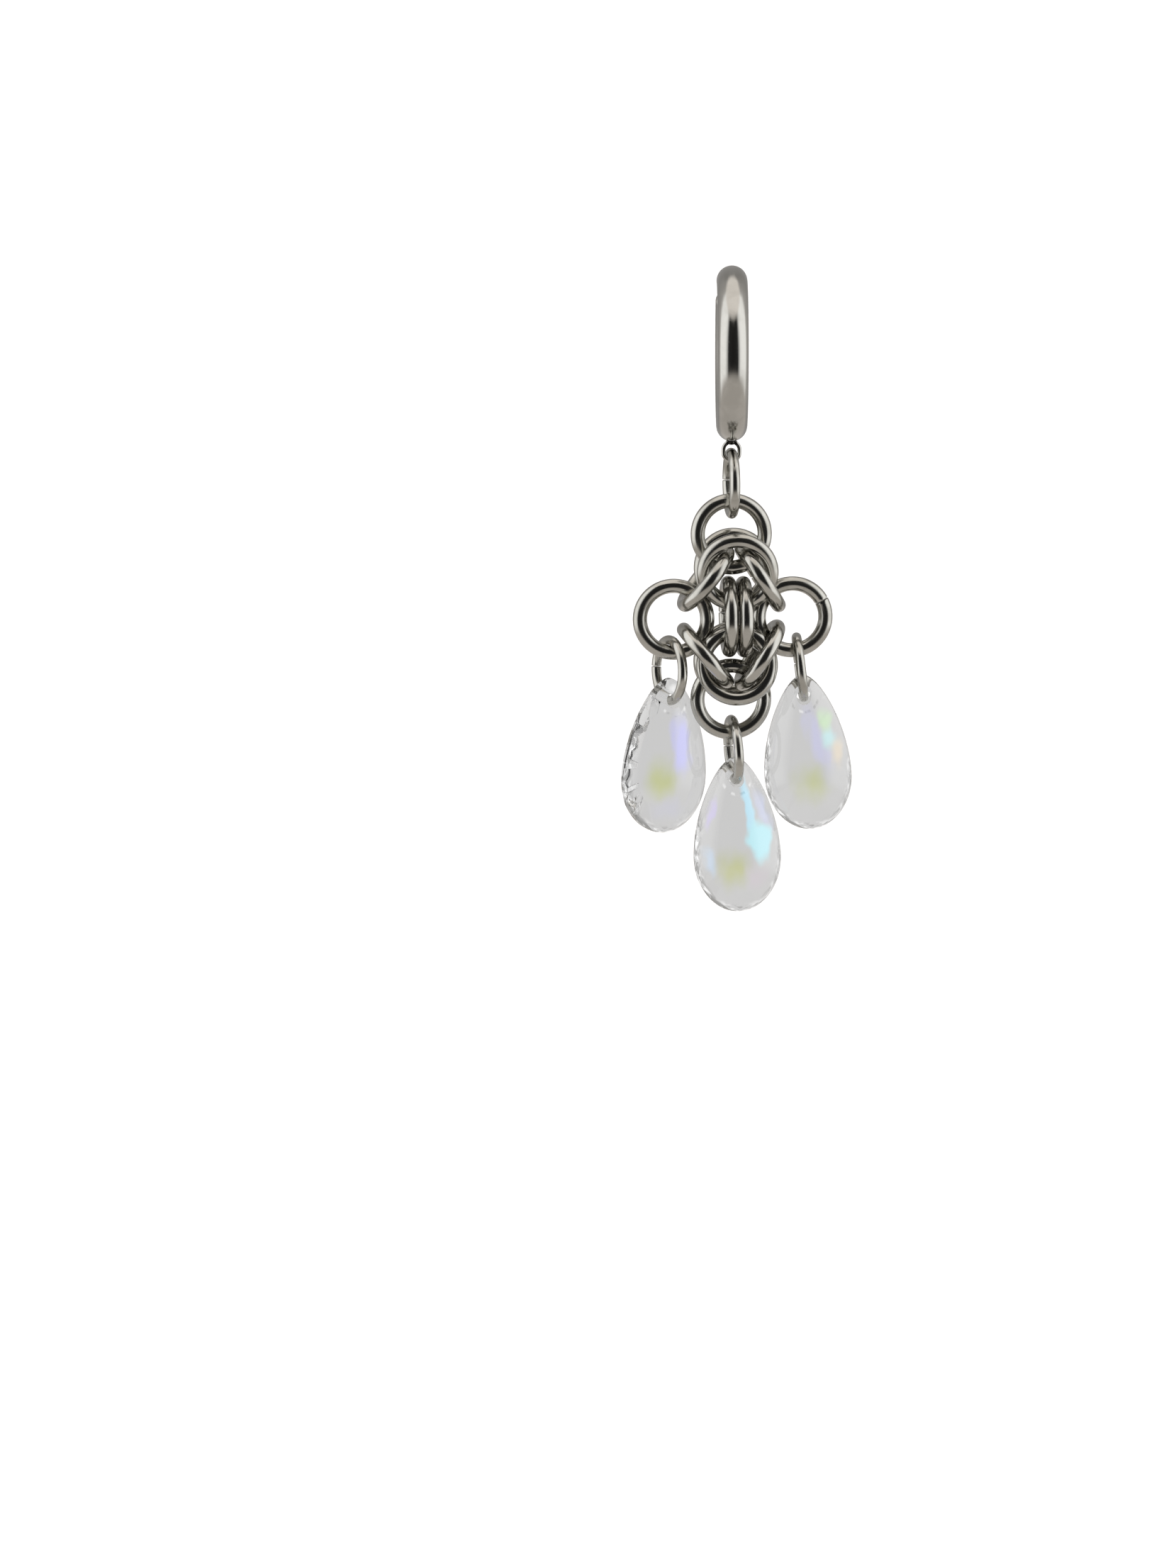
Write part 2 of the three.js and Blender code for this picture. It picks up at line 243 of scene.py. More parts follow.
def makeFloor():
    bm = bmesh.new()
    bmesh.ops.create_grid(bm, x_segments=1, y_segments=1, size=floor["half"])
    bmesh.ops.translate(bm, verts=bm.verts, vec=(0, 0, cadBox[0].z - floor["below"]))
    made = pieceOf("floor", bm)
    material = bpy.data.materials.new("floor")
    material.use_nodes = True
    shader = material.node_tree.nodes["Principled BSDF"]
    shader.inputs["Base Color"].default_value = grey(floor["albedo"])
    shader.inputs["Roughness"].default_value = floor["roughness"]
    made.data.materials.append(material)
    made.visible_glossy = False  # the tent's grey ground is what the metal mirrors
    made.visible_transmission = False


overhead = {"energy": 1.4, "angle": 60, "tilt": 8}


def makeLights():
    data = bpy.data.lights.new("overhead", "SUN")
    data.energy = overhead["energy"]
    data.angle = math.radians(overhead["angle"])
    made = bpy.data.objects.new("overhead", data)
    made.rotation_euler = (math.radians(overhead["tilt"]), 0, 0)
    made.visible_glossy = False
    made.visible_transmission = False
    scene.collection.objects.link(made)


def pieceOf(name, bm):
    mesh = bpy.data.meshes.new(name)
    bm.to_mesh(mesh)
    bm.free()
    made = bpy.data.objects.new(name, mesh)
    scene.collection.objects.link(made)
    return made


def carve(piece, cutter, operation="DIFFERENCE"):
    step = piece.modifiers.new("carve", "BOOLEAN")
    step.operation = operation
    step.solver = "EXACT"
    step.object = cutter
    graph = bpy.context.evaluated_depsgraph_get()
    mesh = bpy.data.meshes.new_from_object(piece.evaluated_get(graph))
    piece.modifiers.clear()
    piece.data = mesh
    mesh.materials.clear()
    bpy.data.objects.remove(cutter)


def smooth(piece, degrees=32):
    for face in piece.data.polygons:
        face.use_smooth = True
    piece.data.set_sharp_from_angle(angle=math.radians(degrees))


def standFor(piece, node, slot, *materials):
    for material in materials:
        piece.data.materials.append(material)
    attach(piece, frame["nodes"][node]["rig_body"])
    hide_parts(node)


def cornersOf(node):
    spots = {tuple(round(c, 7) for c in v.co) for v in frame["nodes"][node].data.vertices}
    return [Vector(spot) for spot in sorted(spots)]


# Lay a UV map along a bent wire, in millimetres: along it, and round it. measure gives a
# point's turn about the bend, its distance from the middle and its distance off the plane
def unroll(mesh, radius, measure):
    layer = mesh.uv_layers.new(name="alongWire")
    lap = 2 * math.pi * radius / mm
    for face in mesh.polygons:
        first = None
        for loop in face.loop_indices:
            turn, distance, off = measure(mesh.vertices[mesh.loops[loop].vertex_index].co)
            u = turn * radius / mm
            v = math.atan2(off, distance - radius)
            if first is None:
                first = (u, v)
            u += lap * round((first[0] - u) / lap)
            v += 2 * math.pi * round((first[1] - v) / (2 * math.pi))
            layer.data[loop].uv = (u, v)


wire = {
    "steps": 96,
    "sides": 28,
    "seamGap": 0.1 * mm,
    "seamEdge": 0.035 * mm,
}
seamTurn = {  # facing rings: degrees clockwise from the ring's top; the rest have it at the back
    "cross_top": 128,
    "cross_bottom": 318,
    "cross_left": 52,
    "cross_right": 61,
    "knot_upper_front": 182,
    "knot_upper_back": 176,
    "knot_lower_front": 4,
    "knot_lower_back": 352,
}


def ringPlace(node):
    corners = cornersOf(node)
    centre = sum(corners, Vector()) / len(corners)
    far = max((p - centre).length for p in corners)
    near = min((p - centre).length for p in corners)
    rim = [p - centre for p in corners if (p - centre).length > 0.9999 * far]
    axis = Vector()
    for p in rim[1:]:
        normal = rim[0].cross(p)
        axis += normal if normal.dot(axis) >= 0 else -normal
    axis.normalize()
    if axis.y > 0:
        axis.negate()  # towards the camera
    return centre, axis, (far + near) / 2, (far - near) / 2


def ringFrame(node, centre, axis):
    seam = Vector((0, 1, 0))
    if node in seamTurn:
        seam = Vector((0, 0, 1))
        seam.rotate(Matrix.Rotation(-math.radians(seamTurn[node]), 3, axis))
    seam = (seam - axis * seam.dot(axis)).normalized()
    turn = Matrix((seam, axis.cross(seam), axis)).transposed().to_4x4()
    return Matrix.Translation(centre) @ turn


def bendWire(bm, radius, wireRadius):
    ring = bmesh.ops.create_circle(bm, segments=wire["sides"], radius=wireRadius)["verts"]
    stand = Matrix.Translation((radius, 0, 0)) @ Matrix.Rotation(math.pi / 2, 4, "X")
    bmesh.ops.transform(bm, matrix=stand, verts=ring)
    halfGap = wire["seamGap"] / radius / 2
    bmesh.ops.rotate(bm, verts=ring, cent=(0, 0, 0), matrix=Matrix.Rotation(halfGap, 3, "Z"))
    bmesh.ops.spin(
        bm, geom=bm.verts[:] + bm.edges[:], cent=(0, 0, 0), axis=(0, 0, 1),
        angle=2 * math.pi - 2 * halfGap, steps=wire["steps"], use_merge=False,
    )
    ends = [edge for edge in bm.edges if edge.is_boundary]
    bmesh.ops.holes_fill(bm, edges=ends, sides=0)
    bmesh.ops.bevel(
        bm, geom=ends, offset=wire["seamEdge"], segments=2, profile=0.5,
        affect="EDGES", material=-1,
    )
    bmesh.ops.recalc_face_normals(bm, faces=bm.faces)


def makeRing(node, material):
    centre, axis, radius, wireRadius = ringPlace(node)
    bm = bmesh.new()
    bendWire(bm, radius, wireRadius)
    piece = pieceOf(node + "_wire", bm)
    unroll(piece.data, radius, lambda p: (math.atan2(p.y, p.x), math.hypot(p.x, p.y), p.z))
    piece.data.transform(ringFrame(node, centre, axis))
    smooth(piece)
    standFor(piece, node, "ring_steel", material)


hinge = {
    "depth": 0.61 * mm,  # from the hoop's outer face in to the pin
    "barrelRadius": 0.55 * mm,
    "barrelLength": 2 * mm,
    "pinRadius": 0.3 * mm,
    "tongueWidth": 0.68 * mm,
    "tongueFoot": (-0.9, 0.7),  # shares of the tongue's radius, inwards and outwards
    "clearance": 0.08 * mm,
    "barrelEdge": 0.07 * mm,
    "tongueEdge": 0.04 * mm,
    "pinEdge": 0.06 * mm,
    "sides": 48,
}
post = {
    "wire": 0.8 * mm,
    "edge": 0.34 * mm,
    "sides": 32,
    "root": 6,  # degrees that it runs on inside the arm
    "reach": 1 * mm,
    "socketRadius": 0.62 * mm,
    "socketSides": 40,
}
loop = {
    "inner": 0.96 * mm,
    "innerHeight": 1.21 * mm,
    "wire": 0.32 * mm,
    "sink": 0.08 * mm,
    "steps": 48,
    "sides": 20,
    "solder": (0.43 * mm, 0.21 * mm, 0.33 * mm),  # low enough for the ring to swing past it
}


# Close an open end of a tube with a rounded edge, past the end's middle along the given way
def roundEnd(bm, rim, middle, along, radius, edge, steps=6):
    was = radius
    for step in range(1, steps + 1):
        turn = math.pi / 2 * step / steps
        now = radius - edge * (1 - math.cos(turn))
        made = bmesh.ops.extrude_edge_only(bm, edges=rim)["geom"]
        fresh = [v for v in made if isinstance(v, bmesh.types.BMVert)]
        rim = [e for e in made if isinstance(e, bmesh.types.BMEdge) and e.is_boundary]
        bmesh.ops.scale(bm, verts=fresh, vec=(now / was,) * 3, space=Matrix.Translation(-middle))
        shift = edge * (math.sin(turn) - math.sin(turn - math.pi / 2 / steps))
        bmesh.ops.translate(bm, verts=fresh, vec=along * shift)
        middle = middle + along * shift
        was = now
    bmesh.ops.holes_fill(bm, edges=rim, sides=0)


def hoopTube(name, start, end, diameter, sides, edge):
    side = 1 if end > start else -1
    cut = side * math.degrees(edge / hoopRadius)
    bm = bmesh.new()
    ring = bmesh.ops.create_circle(bm, segments=sides, radius=diameter / 2)["verts"]
    stand = Matrix.Rotation(-math.radians(start + cut), 4, "X")
    stand = stand @ Matrix.Translation((0, 0, hoopRadius)) @ Matrix.Rotation(math.pi / 2, 4, "X")
    bmesh.ops.transform(bm, matrix=stand, verts=ring)
    bmesh.ops.spin(
        bm, geom=bm.verts[:] + bm.edges[:], cent=(0, 0, 0), axis=(-1, 0, 0),
        angle=math.radians(end - start - 2 * cut), use_merge=False,
        steps=round(abs(end - start) / hoop["stepDegrees"]),
    )
    open_ = [e for e in bm.edges if e.is_boundary]
    for degrees, way in ((start + cut, -side), (end - cut, side)):
        middle = hoopPoint(degrees)
        rim = [e for e in open_ if (e.verts[0].co - middle).length < 0.51 * diameter]
        along = hoopPoint(degrees + 90, 1) * way
        roundEnd(bm, rim, middle, along, diameter / 2, edge)
    bmesh.ops.recalc_face_normals(bm, faces=bm.faces)
    return pieceOf(name, bm)


def atHinge():
    turn = math.radians(hoop["hingeAt"])
    along = Vector((0, -math.cos(turn), math.sin(turn)))
    outward = hoopPoint(hoop["hingeAt"], 1)
    place = Matrix((along.cross(outward), along, outward)).transposed().to_4x4()
    pin = hoopPoint(hoop["hingeAt"], hoop["outer"] / 2 - hinge["depth"])
    return Matrix.Translation(pin) @ place


def hingeCylinder(radius, length, edge=0.0):
    bm = bmesh.new()
    bmesh.ops.create_cone(
        bm, cap_ends=True, segments=hinge["sides"], radius1=radius, radius2=radius, depth=length,
    )
    if edge:
        rims = [e for e in bm.edges if e.verts[0].co.z * e.verts[1].co.z > 0]
        bmesh.ops.bevel(
            bm, geom=rims, offset=edge, segments=3, profile=0.5, affect="EDGES", material=-1,
        )
    bmesh.ops.transform(
        bm, matrix=atHinge() @ Matrix.Rotation(math.pi / 2, 4, "Y"), verts=bm.verts,
    )
    return pieceOf("hingeTool", bm)


def hingeBox(width, start, end, low, high):
    bm = bmesh.new()
    middle = Vector((0, (start + end) / 2, (low + high) / 2))
    size = Matrix.Diagonal((width, end - start, high - low, 1))
    bmesh.ops.create_cube(bm, size=1, matrix=atHinge() @ Matrix.Translation(middle) @ size)
    return pieceOf("hingeTool", bm)


def hangingLoop():
    radius = (loop["inner"] + loop["wire"]) / 2
    rise = (loop["innerHeight"] + loop["wire"]) / 2
    bm = bmesh.new()
    ring = bmesh.ops.create_circle(bm, segments=loop["sides"], radius=loop["wire"] / 2)["verts"]
    stand = Matrix.Translation((radius, 0, 0))
    bmesh.ops.transform(bm, matrix=stand, verts=ring)
    bmesh.ops.spin(
        bm, geom=bm.verts[:] + bm.edges[:], cent=(0, 0, 0), axis=(0, 1, 0),
        angle=2 * math.pi, steps=loop["steps"], use_merge=True,
    )
    for side in (1, -1):
        half = [v for v in bm.verts if v.co.z * side > 1e-7]
        bmesh.ops.translate(bm, verts=half, vec=(0, 0, side * (rise - radius)))
    bmesh.ops.recalc_face_normals(bm, faces=bm.faces)
    down = loop["sink"] - hoop["outer"] / 2 - loop["wire"] / 2 - rise
    bmesh.ops.translate(bm, verts=bm.verts, vec=(0, 0, down))
    return pieceOf("loopTool", bm)


def solderBlob():
    bm = bmesh.new()
    bmesh.ops.create_uvsphere(bm, u_segments=32, v_segments=20, radius=1)
    bmesh.ops.scale(bm, verts=bm.verts, vec=loop["solder"])
    bmesh.ops.translate(bm, verts=bm.verts, vec=(0, 0, -hoop["outer"] / 2))
    return pieceOf("solderTool", bm)


def measureHoop(p):
    return math.atan2(p.y, p.z), math.hypot(p.y, p.z), p.x


# Fill what slivers the cuts left open
def closeGaps(mesh):
    bm = bmesh.new()
    bm.from_mesh(mesh)
    bmesh.ops.holes_fill(bm, edges=[e for e in bm.edges if e.is_boundary], sides=0)
    bm.to_mesh(mesh)
    bm.free()


def finishHoopPiece(piece, node, material):
    closeGaps(piece.data)
    unroll(piece.data, hoopRadius, measureHoop)
    piece.data.transform(Matrix.Translation(hoopCentre))
    smooth(piece)
    standFor(piece, node, "hoop_steel", material)


def makeHoopFront(material):
    clear = hinge["clearance"]
    slotDepth = hinge["barrelRadius"] + clear
    piece = hoopTube(
        "hoop_front_shell", hoop["lip"], hoop["hingeAt"] - 360, hoop["tube"], hoop["sides"],
        hoop["frontEdge"],
    )
    barrel = hingeCylinder(hinge["barrelRadius"], hinge["barrelLength"], hinge["barrelEdge"])
    carve(piece, barrel, "UNION")
    slotWidth = hinge["tongueWidth"] + 2 * clear
    carve(piece, hingeBox(
        slotWidth, -slotDepth, 2 * hinge["barrelRadius"], -hoop["tube"], hoop["tube"],
    ))
    carve(piece, hingeCylinder(hinge["pinRadius"] + clear / 2, 2 * hinge["barrelLength"]))
    length = post["reach"] + hoop["tube"] / 2
    bm = bmesh.new()
    bmesh.ops.create_cone(
        bm, cap_ends=True, segments=post["socketSides"], radius1=post["socketRadius"],
        radius2=post["socketRadius"], depth=length,
        matrix=Matrix.Rotation(math.pi / 2, 4, "X"),
    )
    start = hoopPoint(hoop["lip"]).y - post["reach"] - post["socketRadius"] / 3
    bmesh.ops.translate(bm, verts=bm.verts, vec=(0, start + length / 2, hoopRadius + clear))
    carve(piece, pieceOf("socketTool", bm))
    carve(piece, hangingLoop(), "UNION")
    carve(piece, solderBlob(), "UNION")
    finishHoopPiece(piece, "hoop_front", material)


def makeHoopArm(material):
    clear = hinge["clearance"]
    tube = hoop["tube"]
    piece = hoopTube(
        "hoop_arm_shell", hoop["armTop"], hoop["hingeAt"], tube, hoop["sides"], hoop["armEdge"],
    )
    carve(piece, hingeBox(2 * tube, -tube, 1.5 * clear, -2 * tube, tube))
    carve(piece, hingeBox(2 * tube, -tube, hinge["barrelRadius"] + tube / 10, 0, tube))
    carve(piece, hingeCylinder(hinge["barrelRadius"] + 1.5 * clear, 2 * tube))
    tongue = hinge["barrelRadius"] - clear
    carve(piece, hingeCylinder(tongue, hinge["tongueWidth"], hinge["tongueEdge"]), "UNION")
    low, high = (share * tongue for share in hinge["tongueFoot"])
    foot = hingeBox(hinge["tongueWidth"], 0, 2 * hinge["barrelRadius"], low, high)
    carve(piece, foot, "UNION")
    carve(piece, hingeCylinder(hinge["pinRadius"] + clear / 2, 2 * hinge["barrelLength"]))
    reach = math.degrees(post["reach"] / hoopRadius)
    wirePost = hoopTube(
        "postTool", hoop["lip"] - reach, hoop["armTop"] + post["root"], post["wire"],
        post["sides"], post["edge"],
    )
    carve(piece, wirePost, "UNION")
    finishHoopPiece(piece, "hoop_arm", material)


def makePin(material):
    piece = hingeCylinder(hinge["pinRadius"], hinge["barrelLength"], hinge["pinEdge"])
    piece.name = "hinge_pin_rod"
    finishHoopPiece(piece, "hinge_pin", material)


drop = {
    "height": 12.5 * mm,
    "width": 7 * mm,
    "thickness": 4.4 * mm,
    "girdle": 0.7 * mm,
    "widest": 8.1 * mm,  # below the tip
    "tipBend": 0.39,  # the outline's curve, in shares
    "shoulderBend": 0.54,
    "bellyBend": 0.55,
    "heart": 0.6,  # share of the height below the tip that the rows shrink towards
    "holeBelowTip": 1.65 * mm,
    "holeRadius": 0.58 * mm,
    "facets": 16,
    "stepsPerFacet": 6,
    "domeRows": 26,
    "rowSpread": 1.5,  # over 1 puts more rows by the rim
    "domePower": 2.2,  # how full the front is
    "domeEdge": 0.8,  # under 1 makes it steeper at the rim
    "bezel": {"wide": 0.78, "high": 0.84, "deep": 0.47},  # shares of the outline and half thickness
    "table": {"wide": 0.36, "high": 0.56, "deep": 0.93},
}


# Points round the pear's edge, evenly spaced, from the tip round by +X
def pearOutline(count):
    half = drop["width"] / 2
    belly = drop["height"] - drop["widest"]
    widest = Vector((half, 0, -drop["widest"]))
    foot = Vector((0, 0, -drop["height"]))
    tip = Vector((drop["tipBend"] * half, 0, 0))
    shoulder = Vector((half, 0, -drop["shoulderBend"] * drop["widest"]))
    bulge = Vector((half, 0, -drop["widest"] - drop["bellyBend"] * belly))
    upper = (Vector(), tip, shoulder, widest)
    lower = (widest, bulge, foot + Vector((drop["bellyBend"] * half, 0, 0)), foot)
    fine = interpolate_bezier(*upper, 300) + interpolate_bezier(*lower, 300)[1:]
    lengths = [0.0]
    for a, b in zip(fine, fine[1:]):
        lengths.append(lengths[-1] + (b - a).length)
    spaced, at = [], 0
    for k in range(count // 2 + 1):
        want = lengths[-1] * k / (count // 2)
        while at < len(fine) - 2 and lengths[at + 1] < want:
            at += 1
        share = (want - lengths[at]) / (lengths[at + 1] - lengths[at])
        spaced.append(fine[at].lerp(fine[at + 1], share))
    return spaced + [Vector((-p.x, 0, p.z)) for p in reversed(spaced[1:-1])]


def shrunk(point, wide, high, depth):
    heart = -drop["heart"] * drop["height"]
    return Vector((point.x * wide, depth, heart + (point.z - heart) * high))


# Draw the open rim out to a new row; slots keep which spot of the outline each corner follows
def pushRow(bm, rim, slots, spots):
    made = bmesh.ops.extrude_edge_only(bm, edges=rim)["geom"]
    followed = {}
    for vert in [v for v in made if isinstance(v, bmesh.types.BMVert)]:
        near = [e.other_vert(vert) for e in vert.link_edges]
        followed[vert] = next(slots[v] for v in near if v in slots)
        vert.co = spots[followed[vert]]
    slots.update(followed)
    return [e for e in made if isinstance(e, bmesh.types.BMEdge) and e.is_boundary]


# The facets' straight edges: between their corners the outline is cut along its chords
def chords(outline):
    steps = drop["stepsPerFacet"]
    cut = []
    for k in range(len(outline)):
        start = k - k % steps
        end = (start + steps) % len(outline)
        cut.append(outline[start].lerp(outline[end], k % steps / steps))
    return cut


# The rim's back edge, which dips between the corners where a flat facet meets the round side
def scallops(outline, depth):
    steps = drop["stepsPerFacet"]
    bezel = drop["bezel"]
    spots = []
    for k in range(len(outline)):
        start = k - k % steps
        a = shrunk(outline[start], 1, 1, depth)
        b = shrunk(outline[(start + steps) % len(outline)], 1, 1, depth)
        deep = bezel["deep"] * drop["thickness"] / 2
        c = shrunk(outline[start], bezel["wide"], bezel["high"], deep)
        normal = (b - a).cross(c - a)
        p = outline[k]
        dip = ((p.x - a.x) * normal.x + (p.z - a.z) * normal.z) / normal.y
        spots.append(Vector((p.x, a.y - dip, p.z)))
    return spots


def makeDropMesh():
    rim = drop["girdle"] / 2
    dome = drop["thickness"] / 2 - rim
    outline = pearOutline(drop["facets"] * drop["stepsPerFacet"])
    bm = bmesh.new()
    ring = bmesh.ops.create_circle(bm, segments=len(outline), radius=1)["verts"]
    slots = {}
    for k, vert in enumerate(ring):
        slots[vert] = k
        vert.co = shrunk(outline[k], 1, 1, -rim)
    first = bm.edges[:]
    edges = first
    for row in range(1, drop["domeRows"]):
        size = 1 - (row / drop["domeRows"]) ** drop["rowSpread"]
        depth = -rim - dome * (1 - size ** drop["domePower"]) ** drop["domeEdge"]
        edges = pushRow(bm, edges, slots, [shrunk(p, size, size, depth) for p in outline])
    bmesh.ops.holes_fill(bm, edges=edges, sides=0)
    edges = pushRow(bm, first, slots, scallops(outline, rim))
    for row in (drop["bezel"], drop["table"]):
        depth = row["deep"] * drop["thickness"] / 2
        spots = [shrunk(p, row["wide"], row["high"], depth) for p in chords(outline)]
        edges = pushRow(bm, edges, slots, spots)
    bmesh.ops.holes_fill(bm, edges=edges, sides=0)
    bmesh.ops.recalc_face_normals(bm, faces=bm.faces)
    return bm


def drillTool():
    bm = bmesh.new()
    bmesh.ops.create_cone(
        bm, cap_ends=True, segments=40, radius1=drop["holeRadius"], radius2=drop["holeRadius"],
        depth=2 * drop["thickness"], matrix=Matrix.Rotation(math.pi / 2, 4, "X"),
    )
    bmesh.ops.translate(bm, verts=bm.verts, vec=(0, 0, -drop["holeBelowTip"]))
    return pieceOf("drillTool", bm)


def dropPlace(node):
    corners = sorted(cornersOf(node), key=lambda p: p.z)
    foot = (corners[0] + corners[1]) / 2
    tip = (corners[-1] + corners[-2]) / 2
    rise = (tip - foot).normalized()
    depth = corners[-1] - corners[-2]
    if depth.y < 0:
        depth.negate()
    depth = (depth - rise * depth.dot(rise)).normalized()
    turn = Matrix((depth.cross(rise), depth, rise)).transposed().to_4x4()
    return Matrix.Translation(tip) @ turn


def makeDrop(node, front, back, drilled):
    piece = pieceOf(node + "_crystal", makeDropMesh())
    carve(piece, drillTool())
    mesh = piece.data
    layer = mesh.uv_layers.get("face") or mesh.uv_layers.new(name="face")
    hole = Vector((0, 0, -drop["holeBelowTip"]))
    standFor(piece, node, "drop_glass", front, back, drilled)
    for face in mesh.polygons:
        off = face.center - hole
        inHole = math.hypot(off.x, off.z) < 1.01 * drop["holeRadius"]
        isBack = face.center.y > 0.5 * drop["girdle"] / 2
        face.material_index = 2 if inHole else int(isBack)
        face.use_smooth = inHole or not isBack
        for corner in face.loop_indices:
            p = mesh.vertices[mesh.loops[corner].vertex_index].co
            layer.data[corner].uv = (p.x / drop["width"] + 0.5, -p.z / drop["height"])
    mesh.set_sharp_from_angle(angle=math.radians(35))
    rim = drop["girdle"] / 2
    rise = mesh.attributes.new("rimToFront", "FLOAT", "POINT")
    for vert, share in zip(mesh.vertices, rise.data):
        share.value = max(0, -vert.co.y - rim) / (drop["thickness"] / 2 - rim)
    mesh.transform(dropPlace(node))


def newMaterial(name):
    made = bpy.data.materials.new(name)
    made.use_nodes = True
    return made.node_tree, made.node_tree.nodes["Principled BSDF"], made


def newGroup(name, ins, outs):
    tree = bpy.data.node_groups.new(name, "ShaderNodeTree")
    for label, kind in ins.items():
        tree.interface.new_socket(name=label, in_out="INPUT", socket_type="NodeSocket" + kind)
    for label, kind in outs.items():
        tree.interface.new_socket(name=label, in_out="OUTPUT", socket_type="NodeSocket" + kind)
    return tree, tree.nodes.new("NodeGroupInput"), tree.nodes.new("NodeGroupOutput")


def placeGroup(tree, group, **values):
    node = addNode(tree, "Group")
    node.node_tree = group
    for name, value in values.items():
        feed(tree, node.inputs[name], value)
    return node.outputs


def stretch(tree, vector, by):
    node = addNode(tree, "Mapping")
    feed(tree, node.inputs["Vector"], vector)
    node.inputs["Scale"].default_value = by
    return node.outputs[0]


def noise(tree, vector, scale, detail=3.0, distortion=0.0):
    node = addNode(tree, "TexNoise")
    feed(tree, node.inputs["Vector"], vector)
    feed(tree, node.inputs["Scale"], scale)
    node.inputs["Detail"].default_value = detail
    node.inputs["Distortion"].default_value = distortion
    return node.outputs["Fac"]


wearMarks = {  # stretches along and round the wire, sizes by the look's fineness
    "lines": (0.18, 2.6, 1),
    "smudgeSize": 0.22,
    "smudged": (0.4, 0.68),
    "nicks": (0.7, 1.6, 1),
    "nickSize": 1.7,
    "nicked": (0.7, 0.76),
    "smudgeRough": 0.05,
    "depth": 0.012 * mm,
}


# Marks of a drawn and tumbled wire: lines along it, soft smudges and small nicks
def makeWearGroup():
    tree, given, out = newGroup(
        "wireWear",
        {"Along": "Vector", "Place": "Vector", "Fineness": "Float"},
        {"Lines": "Float", "Smudge": "Float", "Nick": "Float"},
    )
    along, place, fineness = given.outputs[:3]
    lines = noise(tree, stretch(tree, along, wearMarks["lines"]), fineness, 4.0)
    tree.links.new(lines, out.inputs["Lines"])
    smudgeScale = calc(tree, "MULTIPLY", fineness, wearMarks["smudgeSize"])
    smudge = noise(tree, place, smudgeScale, 4.0, 0.6)
    tree.links.new(between(tree, smudge, *wearMarks["smudged"]), out.inputs["Smudge"])
    nickScale = calc(tree, "MULTIPLY", fineness, wearMarks["nickSize"])
    nick = noise(tree, stretch(tree, along, wearMarks["nicks"]), nickScale, 1.0, 1.5)
    tree.links.new(between(tree, nick, *wearMarks["nicked"]), out.inputs["Nick"])
    return tree


def steelMaterial(name, look, wear, stain=None):
    tree, shader, made = newMaterial(name)
    along = addNode(tree, "UVMap", uv_map="alongWire").outputs[0]
    place = addNode(tree, "TexCoord").outputs["Object"]
    inMm = stretch(tree, place, (1 / mm,) * 3)
    wearAndPaintedGlintMarks = placeGroup(tree, wear, Along=along, Place=inMm, Fineness=look["fineness"])
    tint = mixColour(tree, wearAndPaintedGlintMarks["Smudge"], look["colour"], look["smudged"])
    if stain:
        tint = mixColour(tree, stain(tree, place, inMm), tint, look["stained"])
    tree.links.new(tint, shader.inputs["Base Color"])
    shader.inputs["Metallic"].default_value = 1
    low, high = look["roughness"]
    rough = between(tree, wearAndPaintedGlintMarks["Lines"], 0.3, 0.7, low, high)
    smudgeRough = calc(tree, "MULTIPLY", wearAndPaintedGlintMarks["Smudge"], wearMarks["smudgeRough"])
    rough = calc(tree, "ADD", rough, smudgeRough)
    tree.links.new(rough, shader.inputs["Roughness"])
    height = calc(tree, "SUBTRACT", calc(tree, "MULTIPLY", wearAndPaintedGlintMarks["Lines"], 0.5), wearAndPaintedGlintMarks["Nick"])
    bump = addNode(tree, "Bump")
    bump.inputs["Strength"].default_value = look["bump"]
    bump.inputs["Distance"].default_value = wearMarks["depth"]
    tree.links.new(height, bump.inputs["Height"])
    tree.links.new(bump.outputs[0], shader.inputs["Normal"])
    return made


flux = {
    "narrow": (2.2, 1, 1),  # across the hoop
    "forward": 0.7 * mm,  # from the loop
    "near": 0.3 * mm,
    "far": 1.9 * mm,
    "more": 0.3,  # added to the flecks when near, and taken off when far
    "less": -0.2,
    "fineness": 3.4,
    "flecked": (0.56, 0.66),
}


# Dark flecks of flux by the soldered loop
def solderStain(tree, place, inMm):
    away = addNode(tree, "VectorMath", operation="DISTANCE")
    feed(tree, away.inputs[0], stretch(tree, place, flux["narrow"]))
    foot = Vector((0, -flux["forward"], -hoop["outer"] / 2))
    away.inputs[1].default_value = hoopCentre + foot
    reach = (flux["near"], flux["far"], flux["more"], flux["less"])
    nearLoop = between(tree, away.outputs["Value"], *reach)
    fluxFlecksAndPaintedGlints = calc(tree, "ADD", noise(tree, inMm, flux["fineness"], 3.0), nearLoop)
    return between(tree, fluxFlecksAndPaintedGlints, *flux["flecked"])


ripple = {"scale": 5, "detail": 2, "across": 0.22, "down": 0.12}  # bends the patches' edges
